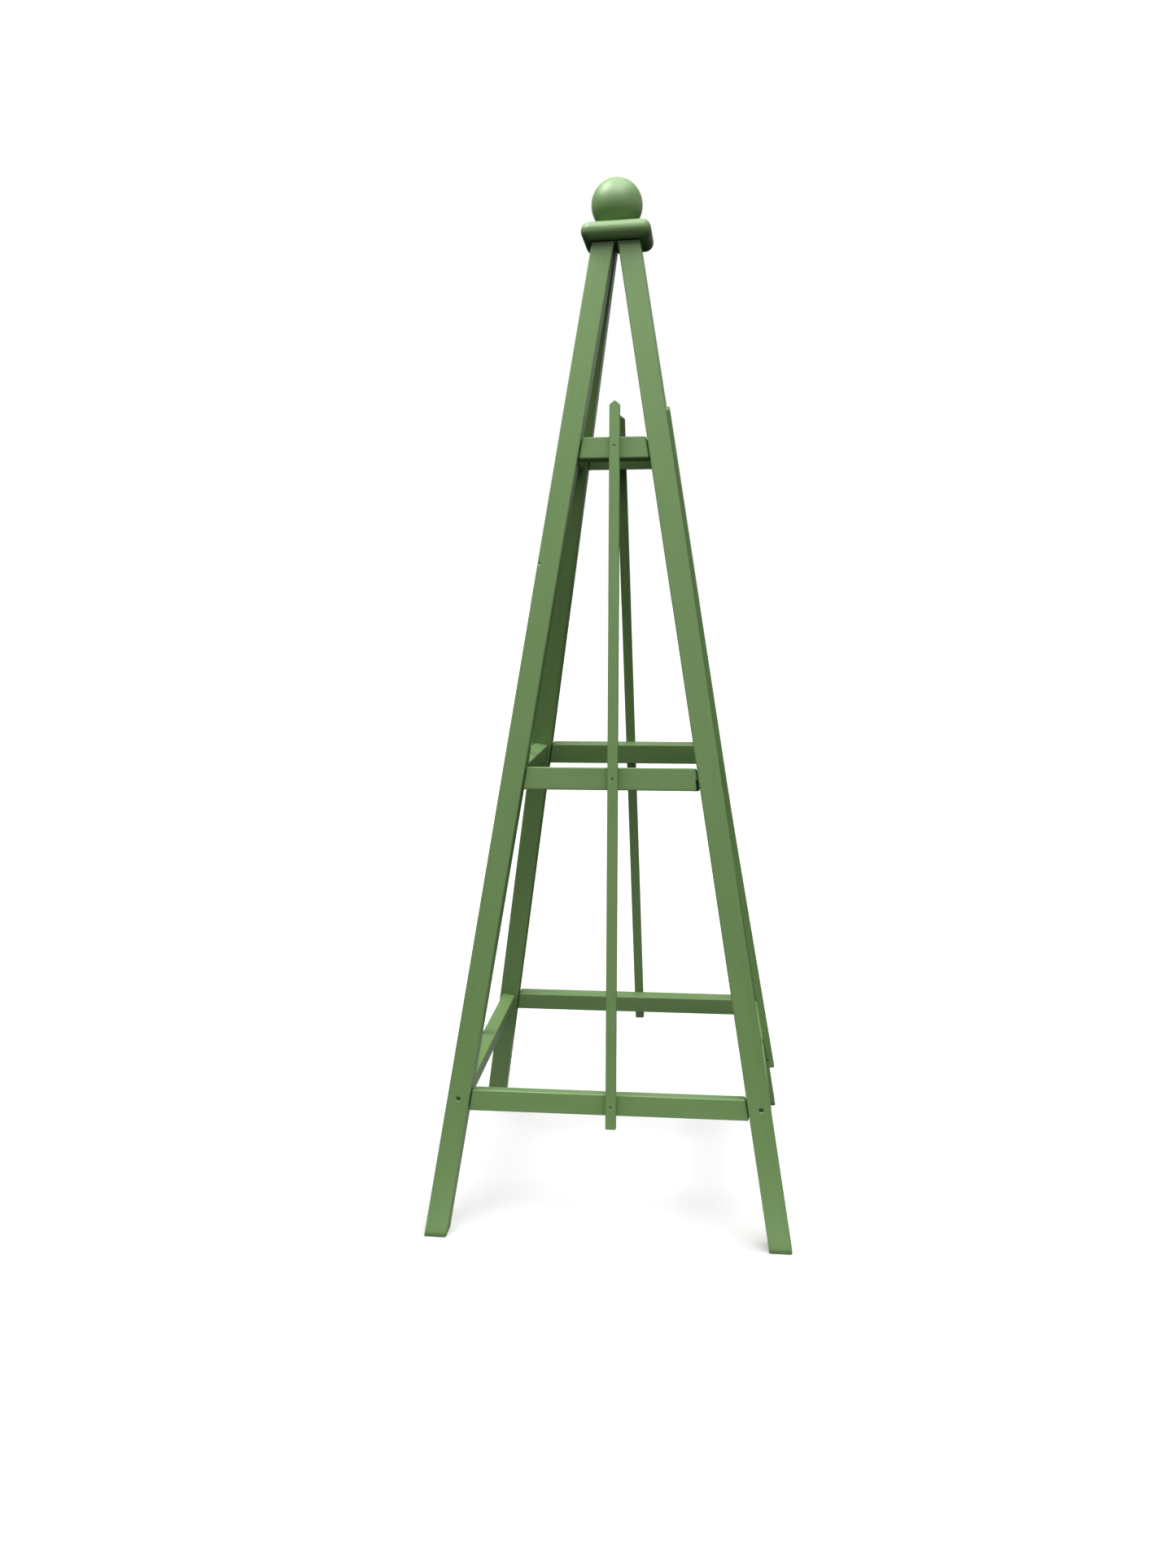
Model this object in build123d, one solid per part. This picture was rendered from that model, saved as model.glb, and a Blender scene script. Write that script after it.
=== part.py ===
from build123d import *
from math import atan2, cos, degrees, sin
import os

# Garden obelisk: four square legs lean in to a cap plate with a ball finial.
# Three tiers of rails are butted between the legs, and a pointed lath is nailed up the
# middle of each side. Millimetres, +Z up, origin on the ground under the centre.
# The front looks along -Y.

# ---- Driving dimensions ----
BASE_WIDTH = 490.0           # over the legs' outer faces, at the ground
TOP_WIDTH = 63.5             # over the legs' outer faces, under the cap plate
LEG_SECTION = 30.0
LEG_HEIGHT = 1314.0          # ground to the underside of the cap plate

TIERS = {"bottom": 181.5, "middle": 609.0, "top": 1043.0}      # heights of the rails' middles
RAIL_WIDTHS = {"bottom": 28.0, "middle": 30.5, "top": 29.0}    # measured up the slope of their side
RAIL_DEPTH = 20.0
RAIL_INSET = (LEG_SECTION - RAIL_DEPTH) / 2     # rails sit in the middle of the legs
FLUSH_RAIL = ("right", "bottom")                # but this one is fixed level with their outer faces

LATH_WIDTH = 14.0
LATH_THICKNESS = 10.0
LATH_SHOULDER = 1097.0       # height where the pointed top starts
LATH_POINT_RISE = 5.5
# The laths are nailed on by eye, so each has its own height of foot and leans a little.
LATH_FEET = {"front": 152.0, "right": 155.0, "back": 146.0, "left": 150.0}
# Sideways place of each at its foot and at its shoulder, seen from outside that side
LATH_OFFSETS = {"front": (5.5, 1.0), "right": (2.0, -1.5), "back": (-17.0, 2.5), "left": (-2.5, 1.0)}
LATH_BEND = 530.0            # below this height the lath over the flush rail swings out to it
LATH_BEND_RADIUS = 8000.0

CAP_WIDTH = 93.0
CAP_THICKNESS = 23.0
CAP_CORNER_RADIUS = 13.0
CAP_NOSE_RADIUS = CAP_THICKNESS / 2 - 0.1       # a full bullnose, but for a sliver of flat
CAP_TILT = 1.5               # degrees: the legs' tops aren't cut quite level, and the right side is higher
CAP_DROP = 0.8               # how far the legs' tops are cut below their nominal height, at the middle
CAP_SHIFT = 0.5              # cap and ball stand a little to the right of centre

BALL_RADIUS = 34.5
BALL_RISE = 28.5             # ball's centre above the cap plate, so its underside is a flat
LEG_SPARE = 5.0              # the legs are made this much longer, then cut to the seat of the cap

ARRIS = 1.8                  # rounding along the legs and rails
LATH_ARRIS = 1.3
FOOT_ARRIS = 1.2

# ---- Fixings ----
CLEARANCE = 0.05             # radial, round every fixing in its hole
SCREW_SHANK = 2.0            # radii
SCREW_HEAD = 2.6
SCREW_HEAD_HEIGHT = 2.2
SCREW_LENGTH = 55.0
SCREW_RECESS = 2.5           # the heads sit this far below the face of the leg
SCREW_STAGGER = 3.0          # front and back screws go below the middle, side screws above it

CAP_SCREW_HEAD = 4.0
CAP_SCREW_LENGTH = 50.0
CAP_SCREW_RECESS = 0.5
CAP_SCREW_SPACING = TOP_WIDTH - LEG_SECTION     # one screw over the middle of each leg

NAIL_SHANK = 0.8
NAIL_HEAD = 1.3
NAIL_HEAD_HEIGHT = 0.8
NAIL_LENGTH = 24.0
NAIL_RECESS = 0.8

DOWEL_RADIUS = 4.0
DOWEL_IN_LEG = 10.0
DOWEL_IN_RAIL = 20.0

STUD_RADIUS = 3.0            # double-ended wood screw that holds the ball
STUD_IN_CAP = 18.0
STUD_IN_BALL = 25.0

SIDE_TURNS = {"front": 0, "right": 90, "back": 180, "left": 270}
LEG_NAMES = ("leg_front_left", "leg_front_right", "leg_back_right", "leg_back_left")

SLOPE = atan2((BASE_WIDTH - TOP_WIDTH) / 2, LEG_HEIGHT)      # lean of each side from upright
CAP_SEAT = Pos(CAP_SHIFT, 0, LEG_HEIGHT - CAP_DROP) * Rot(0, -CAP_TILT, 0)      # underside of the cap plate


def half_width(z):
    """Half the width over the legs' outer faces at height z."""
    return BASE_WIDTH / 2 - (BASE_WIDTH - TOP_WIDTH) / 2 * z / LEG_HEIGHT


def side_plane(inset):
    """Plane parallel to the front side, inset inside it: X to the right, Y up the slope, Z out."""
    outward = Vector(0, -cos(SLOPE), sin(SLOPE))
    return Plane(origin=Vector(0, -BASE_WIDTH / 2, 0) - outward * inset, x_dir=(1, 0, 0), z_dir=outward)


def up_slope(z, inset):
    """Distance up the side plane with this inset at which the height is z."""
    return (z + inset * sin(SLOPE)) / cos(SLOPE)


def rail_inset(side, tier):
    """How far a rail's outer face is set back from the legs' outer faces."""
    return 0.0 if (side, tier) == FLUSH_RAIL else RAIL_INSET


def turned(shape, side):
    """The shape made for the front side, turned to another side."""
    return Rot(0, 0, SIDE_TURNS[side]) * shape


# ---- Timbers ----
def leg():
    """Front left leg: a square section carried up the corner, level at its foot and over-long at its top."""
    middle = -(BASE_WIDTH - LEG_SECTION) / 2
    lean = (BASE_WIDTH - TOP_WIDTH) / 2
    foot = Pos(middle, middle) * Rectangle(LEG_SECTION, LEG_SECTION)
    post = Solid.extrude(foot.face(), Vector(lean, lean, LEG_HEIGHT) * (1 + LEG_SPARE / LEG_HEIGHT))
    long_edges = [edge for edge in post.edges() if edge.length > LEG_HEIGHT]
    post = fillet(long_edges, ARRIS)
    return fillet(post.faces().sort_by(Axis.Z)[0].edges(), FOOT_ARRIS)


def above_seat():
    """Block above the underside of the cap plate, which cuts the legs' tops."""
    return CAP_SEAT * Box(2 * CAP_WIDTH, 2 * CAP_WIDTH, 8 * LEG_SPARE, align=(Align.CENTER, Align.CENTER, Align.MIN))


def space_between_legs():
    """Wedge between the left and right legs' inner faces, which cuts the rails to length."""
    foot = BASE_WIDTH / 2 - LEG_SECTION
    head = TOP_WIDTH / 2 - LEG_SECTION
    outline = Polygon((-foot, 0), (foot, 0), (head, LEG_HEIGHT), (-head, LEG_HEIGHT), align=None)
    return extrude(Plane.XZ * outline, BASE_WIDTH, both=True)


def rail(side, tier):
    """Rail of one tier, made on the front side, its ends cut to the lean of the legs."""
    inset = rail_inset(side, tier)
    outline = Pos(0, up_slope(TIERS[tier], inset)) * Rectangle(BASE_WIDTH, RAIL_WIDTHS[tier])
    bar = extrude(side_plane(inset) * outline, -RAIL_DEPTH)
    bar = (bar & space_between_legs()).solid()
    return fillet(bar.edges(), ARRIS)


def lath_x(side, z):
    """Sideways place of a lath's centre line at height z."""
    foot, head = LATH_OFFSETS[side]
    return foot + (head - foot) * (z - LATH_FEET[side]) / (LATH_SHOULDER - LATH_FEET[side])


def lath_swing(side):
    """Rise outward per unit of slope below the bend, so that the lath lies on its bottom rail."""
    run = up_slope(LATH_BEND, RAIL_INSET) - up_slope(TIERS["bottom"], RAIL_INSET) - RAIL_WIDTHS["bottom"] / 2
    return (RAIL_INSET - rail_inset(side, "bottom")) / run


def lath_rise(side, z):
    """How far the inside of a lath is out from the plane of the inset rails at height z."""
    below_bend = up_slope(LATH_BEND, RAIL_INSET) - up_slope(z, RAIL_INSET)
    return lath_swing(side) * max(below_bend, 0.0)


def lath_side_view(side):
    """Lath seen from its edge, running well past both its ends: X up the slope, Y out from the rails."""
    top = up_slope(LATH_SHOULDER, RAIL_INSET) + 2 * LATH_WIDTH
    foot_height = LATH_FEET[side] - 2 * LATH_WIDTH
    foot = up_slope(foot_height, RAIL_INSET)
    middle = LATH_THICKNESS / 2
    if lath_swing(side) == 0:
        path = Line((foot, middle), (top, middle))
    else:
        bend = up_slope(LATH_BEND, RAIL_INSET)
        path = FilletPolyline((foot, middle + lath_rise(side, foot_height)), (bend, middle), (top, middle),
                              radius=LATH_BEND_RADIUS)
    return trace(path, LATH_THICKNESS)


def lath(side):
    """Pointed lath on the outside of the rails, made on the front side."""
    foot, shoulder = (up_slope(z, RAIL_INSET) for z in (LATH_FEET[side], LATH_SHOULDER))
    length = shoulder - foot
    foot_x, head_x = LATH_OFFSETS[side]
    lean = degrees(atan2(foot_x - head_x, length))
    half = LATH_WIDTH / 2
    outline = Polygon((-half, 0), (half, 0), (half, length), (0, length + LATH_POINT_RISE), (-half, length),
                      align=None)
    face = side_plane(RAIL_INSET)
    edge_on = Plane(origin=face.origin, x_dir=face.y_dir, z_dir=face.x_dir)
    front_view = face * (Pos(foot_x, foot) * Rot(0, 0, lean) * outline)
    bar = extrude(front_view, 3 * LATH_THICKNESS, both=True)
    bar = (bar & extrude(edge_on * lath_side_view(side), 3 * LATH_WIDTH, both=True)).solid()
    between_ends = (LATH_FEET[side] + LATH_WIDTH, LATH_SHOULDER - LATH_WIDTH)
    arrises = [edge for edge in bar.edges()
               if edge.length > 1.5 * LATH_WIDTH or not between_ends[0] < edge.center().Z < between_ends[1]]
    return fillet(arrises, LATH_ARRIS)


def cap_plate():
    """Square plate with rounded corners and a bullnose all round."""
    outline = RectangleRounded(CAP_WIDTH, CAP_WIDTH, CAP_CORNER_RADIUS)
    plate = extrude(outline, CAP_THICKNESS)
    faces = plate.faces().sort_by(Axis.Z)
    return CAP_SEAT * fillet(faces[0].edges() + faces[-1].edges(), CAP_NOSE_RADIUS)


def ball_finial():
    """Turned ball with a flat underside that stands on the cap plate."""
    ball = Pos(0, 0, CAP_THICKNESS + BALL_RISE) * Sphere(BALL_RADIUS)
    below = Pos(0, 0, CAP_THICKNESS) * Box(3 * BALL_RADIUS, 3 * BALL_RADIUS, 2 * BALL_RADIUS,
                                           align=(Align.CENTER, Align.CENTER, Align.MAX))
    return CAP_SEAT * (ball - below)


# ---- Fixings, each made head up at the origin and pointing down ----
def turned_profile(*points):
    """Solid of revolution about Z from (radius, height) points."""
    return revolve(Plane.XZ * Polygon(*points, align=None), Axis.Z)


def screw(shank, head, head_height, length, clearance=0.0, mouth=0.0):
    """Countersunk wood screw, or with a mouth the hole that it stands in."""
    r, h = shank + clearance, head + clearance
    tip = length + clearance
    points = [(0, -tip), (r, -tip + 2 * shank), (r, -head_height), (h, 0), (h, mouth), (0, mouth)]
    return turned_profile(*(points if mouth else points[:4] + [(0, 0)]))


def nail(clearance=0.0, mouth=0.0):
    """Lost-head nail, or with a mouth the hole that it stands in."""
    r, h = NAIL_SHANK + clearance, NAIL_HEAD + clearance
    tip = NAIL_LENGTH + clearance
    points = [(0, -tip), (r, -tip + 2 * NAIL_SHANK), (r, -NAIL_HEAD_HEIGHT), (h, -NAIL_HEAD_HEIGHT),
              (h, mouth), (0, mouth)]
    return turned_profile(*points)


def dowel(clearance=0.0):
    """Plain dowel with chamfered ends, standing from -DOWEL_IN_LEG to DOWEL_IN_RAIL."""
    r = DOWEL_RADIUS + clearance
    low, high = -DOWEL_IN_LEG - clearance, DOWEL_IN_RAIL + clearance
    return turned_profile((0, low), (r - 1, low), (r, low + 1), (r, high - 1), (r - 1, high), (0, high))


def stud(clearance=0.0):
    """Double-ended wood screw between the cap plate and the ball."""
    r = STUD_RADIUS + clearance
    low, high = -STUD_IN_CAP - clearance, STUD_IN_BALL + clearance
    return turned_profile((0, low), (r, low + STUD_RADIUS), (r, high - STUD_RADIUS), (0, high))


def joint_y(side, tier, z):
    """Y of a joint's fixings at height z: midway between the middle of the leg and that of the rail."""
    inset = (LEG_SECTION / 2 + rail_inset(side, tier) + RAIL_DEPTH / 2) / 2
    return -half_width(z) + inset / cos(SLOPE)


def bottom_screw_places():
    """Heads of the screws through the legs into the ends of the bottom rails."""
    places = []
    for side in SIDE_TURNS:
        step = -SCREW_STAGGER if side in ("front", "back") else SCREW_STAGGER
        z = TIERS["bottom"] + step
        for end in (-1, 1):
            head = Vector(end * (half_width(z) - SCREW_RECESS), joint_y(side, "bottom", z), z)
            places.append(turned(Plane(origin=head, z_dir=(end, 0, 0)).location, side))
    return places


def dowel_places(tier):
    """Joint faces between the legs and the ends of one tier's rails."""
    z = TIERS[tier]
    joint_x = half_width(z) - LEG_SECTION
    places = []
    for side in SIDE_TURNS:
        for end in (-1, 1):
            joint = Vector(end * joint_x, joint_y(side, tier, z), z)
            places.append(turned(Plane(origin=joint, z_dir=(-end, 0, 0)).location, side))
    return places


def nail_places(tier):
    """Nail heads where the laths cross one tier's rails."""
    z = TIERS[tier]
    plane = side_plane(RAIL_INSET)
    places = []
    for side in SIDE_TURNS:
        height = lath_rise(side, z) + LATH_THICKNESS - NAIL_RECESS
        head = plane.from_local_coords((lath_x(side, z), up_slope(z, RAIL_INSET), height))
        places.append(turned(Plane(origin=head, z_dir=plane.z_dir).location, side))
    return places


def cap_screw_places():
    """Screw heads in the top of the cap plate, one over each leg."""
    half = CAP_SCREW_SPACING / 2
    return [CAP_SEAT * Pos(x, y, CAP_THICKNESS - CAP_SCREW_RECESS) for x in (-half, half) for y in (-half, half)]


def make_timbers():
    waste = above_seat()
    timbers = {name: Rot(0, 0, 90 * turn) * leg() - waste for turn, name in enumerate(LEG_NAMES)}
    for side in SIDE_TURNS:
        for tier in TIERS:
            timbers[f"rail_{side}_{tier}"] = turned(rail(side, tier), side)
        timbers[f"lath_{side}"] = turned(lath(side), side)
    timbers["cap_plate"] = cap_plate()
    timbers["ball_finial"] = ball_finial()
    return timbers


def make_fixings():
    """Each kind of fixing by name: its solids, and the holes that they stand in."""
    rail_screw = (SCREW_SHANK, SCREW_HEAD, SCREW_HEAD_HEIGHT, SCREW_LENGTH)
    cap_screw = (SCREW_SHANK, CAP_SCREW_HEAD, SCREW_HEAD_HEIGHT, CAP_SCREW_LENGTH)
    kinds = {
        "screws_bottom_rails": (bottom_screw_places(), screw(*rail_screw),
                                screw(*rail_screw, CLEARANCE, 3 * SCREW_RECESS)),
        "screws_cap_plate": (cap_screw_places(), screw(*cap_screw),
                             screw(*cap_screw, CLEARANCE, 3 * CAP_SCREW_RECESS)),
        "stud_ball_finial": ([CAP_SEAT * Pos(0, 0, CAP_THICKNESS)], stud(), stud(CLEARANCE)),
    }
    for tier in ("middle", "top"):
        kinds[f"dowels_{tier}_rails"] = (dowel_places(tier), dowel(), dowel(CLEARANCE))
    for tier in TIERS:
        kinds[f"nails_laths_{tier}"] = (nail_places(tier), nail(), nail(CLEARANCE, 3 * NAIL_RECESS))
    return {name: ([place * solid for place in places], [place * hole for place in places])
            for name, (places, solid, hole) in kinds.items()}


def drilled(timber, holes):
    """The timber with every hole that reaches it."""
    box = timber.bounding_box()
    for hole in holes:
        if box.overlaps(hole.bounding_box()):
            timber = timber - hole
    return timber


def write(name, shape):
    export_step(shape, f"parts/{name}.step")
    print(f"{name:24s} volume {shape.volume / 1000:9.2f} cm3")


def main():
    os.makedirs("parts", exist_ok=True)
    fixings = make_fixings()
    holes = [hole for _, group in fixings.values() for hole in group]
    for name, timber in make_timbers().items():
        write(name, drilled(timber, holes))
    for name, (solids, _) in fixings.items():
        write(name, Compound([part.solid() for part in solids]))


main()
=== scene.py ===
import bmesh
import bpy
import math
from mathutils import Matrix, Vector, noise


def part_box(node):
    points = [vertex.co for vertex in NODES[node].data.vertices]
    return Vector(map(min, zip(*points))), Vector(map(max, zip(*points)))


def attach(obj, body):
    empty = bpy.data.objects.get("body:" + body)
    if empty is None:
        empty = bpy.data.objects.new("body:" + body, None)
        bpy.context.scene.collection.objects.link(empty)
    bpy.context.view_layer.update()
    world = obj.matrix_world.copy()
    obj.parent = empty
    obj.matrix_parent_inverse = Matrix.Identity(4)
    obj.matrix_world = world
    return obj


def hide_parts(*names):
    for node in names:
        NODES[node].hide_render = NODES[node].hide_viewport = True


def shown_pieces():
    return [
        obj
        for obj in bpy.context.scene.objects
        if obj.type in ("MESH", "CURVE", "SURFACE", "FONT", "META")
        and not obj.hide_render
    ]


# Garden obelisk: every timber is the CAD solid, cut into a fine grid along its grain and given the
# slight unevenness of planed and painted wood. The cap plate and the ball are built level from their
# profiles, with the marks of cutter and lathe, and then tilted as they are in the CAD.

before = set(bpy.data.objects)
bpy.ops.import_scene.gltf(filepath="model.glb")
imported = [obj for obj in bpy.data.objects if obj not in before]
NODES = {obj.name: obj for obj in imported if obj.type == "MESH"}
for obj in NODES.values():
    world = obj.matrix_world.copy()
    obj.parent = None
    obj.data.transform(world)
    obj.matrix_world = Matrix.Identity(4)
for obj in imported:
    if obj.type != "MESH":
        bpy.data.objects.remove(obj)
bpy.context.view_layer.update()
MM = 0.001

# ---- Camera ----
CAMERA_PLACE = Vector((0.13564, -1.70682, 0.85884))
CAMERA_TURN = math.radians(6.04)       # to the left, seen from above
CAMERA_TILT = math.radians(-9.27)
CAMERA_ROLL = math.radians(-0.37)
FOCAL_LENGTH = 27.54                   # in mm, as is the sensor's height
SENSOR_HEIGHT = 36.0
CLIP_RANGE = (0.01, 100)

# ---- Meshes ----
MERGE_DISTANCE = 1e-6
WELD_GRID = 0.01 * MM                  # corners that round to one point of this grid are one corner
FLAT_ANGLE = math.radians(0.05)        # faces that meet at less are one flat
SHARP_ANGLE = math.radians(34)         # edges that turn more are shaded sharp
FLAT_WEIGHT = 50                       # how much of the shading goes by the larger faces
FACING = 0.7                           # a face with this much of its normal in a direction faces that way
APART = 0.5                            # normals with less than this in common aren't parallel

# ---- Timber ----
LEG_GRID = (10 * MM, 2 * MM)           # spacing of the grid's lines along and across the grain
RAIL_GRID = (6 * MM, 2 * MM)
LATH_GRID = (8 * MM, 1.5 * MM)
WAVE_DEPTH = 0.12 * MM                 # slow waviness of the planed faces
WAVE_LENGTH = 0.17
WAVE_FACES = 9                         # how far apart in the noise the faces of a timber are
GRAIN_DEPTH = 0.05 * MM                # raised grain under the paint
GRAIN_LENGTH, GRAIN_WIDTH = 0.09, 3.5 * MM
ARRIS_DEPTH = 0.30 * MM                # uneven sanding of the arrises
ARRIS_LENGTH = 0.035
ARRIS_FACES = 5
ARRIS_TURN = 0.25                      # how far from square the normals on a full arris are
END_RAMP = (2, 0.9)                    # slope and start of end grain, by a normal's share along the grain
SEED_STEPS = (1.7, 0.31, 0.17)         # between the places of neighbouring timbers in the paint
# Countersinks over the screw holes in the legs
SCREW_HOLE_RADIUS = 2.65 * MM
HEAD_RECESS = 2.5 * MM                 # from the leg's face in to the screw's head
SINK_RADIUS = 3.3 * MM
SINK_DEPTH = 0.9 * MM
SINK_ROOT = 2.6 * MM                   # radius at which the cutter starts, just inside the hole
SINK_SPARE = 2 * MM                    # it reaches this far past the leg's face
SINK_SEGMENTS = 32
# The rails' ends and the legs' tops are eased, so that a dark line shows at each joint
EASE_DEPTH = 1.4 * MM
EASE_INSET = 5 * MM                    # from the timber's faces to where its end touches
EASE_REACH = 3 * MM                    # from the end to where the easing stops
# Open joint at the right end of the front middle rail, and its widths above and below
GAP_RAIL = "rail_front_middle"
GAP_TOP, GAP_BOTTOM = 2.6 * MM, 4.2 * MM
GAP_DEPTH = 16 * MM
GAP_SPARE = 3 * MM                     # the cutter reaches this far past the rail
# Dents that a timber has: (place, radius, depth)
MARKS = {"leg_front_left": [(Vector((-98, -100.4, 891)) * MM, 2.4 * MM, 0.8 * MM)]}
MARK_MARGIN = 1.6                      # radii that the finer grid reaches to each side
MARK_LINES = 5                         # lines of that grid to a radius
MARK_ROUNDNESS = 0.6                   # power of a dent's profile: lower is flatter and steeper
# A spare nail hole near the foot of the right lath, in its front edge
SPARE_HOLE_NODE = "lath_right"
SPARE_HOLE_PLACE = Vector((220.2, -5.0, 168.5)) * MM
SPARE_HOLE_RADIUS = 1.5 * MM
SPARE_HOLE_DEPTH = 6 * MM
SPARE_HOLE_SEGMENTS = 24

# ---- Cap plate and ball ----
CAP_THICKNESS = 23 * MM
CAP_HALF_WIDTH = 46.5 * MM
CAP_INSET = 0.05 * MM                  # of its faces inside the CAD's
CORNER_RADIUS = 13 * MM
SIDE_STEPS = 22
CORNER_STEPS = 10
FACE_RINGS = (0.12, 0.35, 0.6, 0.8, 0.93)        # rings across its faces, as shares of the inner outline
NOSE_RINGS = 48
NOSE_FLAT = 0.1 * MM                   # half the height of the nose's upright part
NOSE_INSET = 0.02 * MM
NOSE_FADE = 3                          # how soon the marks on the nose reach their full depth
ROUTER_PITCH = 2.3 * MM
ROUTER_DEPTH = 0.07 * MM
NOSE_GRAIN_DEPTH = 0.22 * MM
NOSE_STREAK = (0.07, 0.012, 1.3 * MM)            # size of a streak along x, along y and round the nose
NOSE_PORE = (0.01, 2 * MM, 2 * MM)               # and of a pore, where the nose crosses the grain
NOSE_END_CALM = 0.6                    # share of the depth that is missing there
CAP_HOLE_SEGMENTS = 40
CAP_SCREW_HOLE = (4.05 * MM, 2.05 * MM)          # radii of the head's and the shank's holes
CAP_SCREW_HEAD = (0.5 * MM, 2.7 * MM)            # depths of the head's top and underside
STUD_RADIUS = 3.05 * MM
STUD_DEPTHS = (18.05 * MM, 25.05 * MM)           # into the plate and into the ball
STUD_POINT = 3 * MM
BALL_SEGMENTS = 144
BALL_RINGS = 84
BALL_INSET = 0.05 * MM                 # of its surface inside the CAD's
BALL_GRAIN_DEPTH = 0.4 * GRAIN_DEPTH
BALL_GRAIN_LENGTH, BALL_GRAIN_WIDTH = 0.03, 3 * MM
BALL_WAVE_DEPTH = 0.6 * WAVE_DEPTH
BALL_WAVE_LENGTH = 0.03
BALL_TURNED = 0.9                      # points further out than this share of the radius are on its surface
# End grain on the ball's sides, darker and greyer in the paint: partly soaked-in paint, partly a painted
# reflection
BALL_END_RAMP = (3, 2.2)
BALL_END_STRENGTH = 0.3
RIM_OUTER, RIM_INNER = 0.3 * MM, 0.8 * MM        # of the softened edge of its flat, from the ideal edge
RIM_HEIGHT = 0.15 * MM
LATHE_PITCH = 1.7 * MM
LATHE_DEPTH = 0.02 * MM

# ---- Colours ----
PAINT_COLOUR = (0.130, 0.235, 0.075, 1)
PAINT_THIN = (0.150, 0.250, 0.092, 1)  # where it is thin, over raised grain and arrises
PAINT_THICK = (0.116, 0.218, 0.064, 1)           # where it has gathered
PAINT_END_GRAIN_AND_REFLECTION = (0.112, 0.178, 0.085, 1)   # darker and greyer on end grain: partly paint soaked into it, partly a painted reflection
BEECH_PALE = (0.50, 0.33, 0.19, 1)
BEECH_FLECK = (0.36, 0.21, 0.11, 1)
BEECH_CLOUD = (0.58, 0.41, 0.26, 1)
# Zinc darkened far below its own colour: painted shade of the holes that the screws and nails sit in
ZINC_IN_PAINTED_SHADE = (0.11, 0.115, 0.11, 1)
ZINC_BLOTCH_IN_PAINTED_SHADE = (0.045, 0.047, 0.045, 1)
FLOOR_TONES = ((0.925, 0.925, 0.922, 1), (0.935, 0.935, 0.935, 1))
WHITE = (1, 1, 1, 1)

# ---- Light ----
LAMP_AIM = (0, 0, 1.2)
LAMP_SIZE = (1.0, 1.0)
FLOOR_GLOW = 0.18                      # keeps the shadows on the floor pale
FLOOR_HALF = 60.0
BACKDROP = 1.0                         # what the camera sees round the object, in every direction
# Elevations in degrees, and the radiance towards the front, right, back and left
SKY_ZONES = (
    (2, 25, (0.92, 0.85, 0.60, 0.10)),
    (25, 55, (0.90, 0.20, 0.30, 0.25)),
    (55, 78, (3.80, 5.00, 3.20, 0.60)),
    (78, 90, (0.50, 0.50, 0.50, 0.50)),
)
ZONE_BLEND = 0.03                      # in the sine of elevation, and in the quarter's share of the horizon


def add_camera():
    """Camera at the photograph's angle. The picture is upright, so the sensor's longer side is its height."""
    forward = Vector((-math.sin(CAMERA_TURN) * math.cos(CAMERA_TILT),
                      math.cos(CAMERA_TURN) * math.cos(CAMERA_TILT), math.sin(CAMERA_TILT)))
    level = Vector((math.cos(CAMERA_TURN), math.sin(CAMERA_TURN), 0))
    upright = level.cross(forward)
    right = math.cos(CAMERA_ROLL) * level + math.sin(CAMERA_ROLL) * upright
    up = math.cos(CAMERA_ROLL) * upright - math.sin(CAMERA_ROLL) * level
    data = bpy.data.cameras.new("camera")
    data.sensor_width = SENSOR_HEIGHT
    data.lens = FOCAL_LENGTH
    data.clip_start, data.clip_end = CLIP_RANGE
    camera = bpy.data.objects.new("camera", data)
    turn = Matrix((right, up, -forward)).transposed().to_4x4()
    camera.matrix_world = Matrix.Translation(CAMERA_PLACE) @ turn
    bpy.context.scene.collection.objects.link(camera)
    bpy.context.scene.camera = camera


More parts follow.
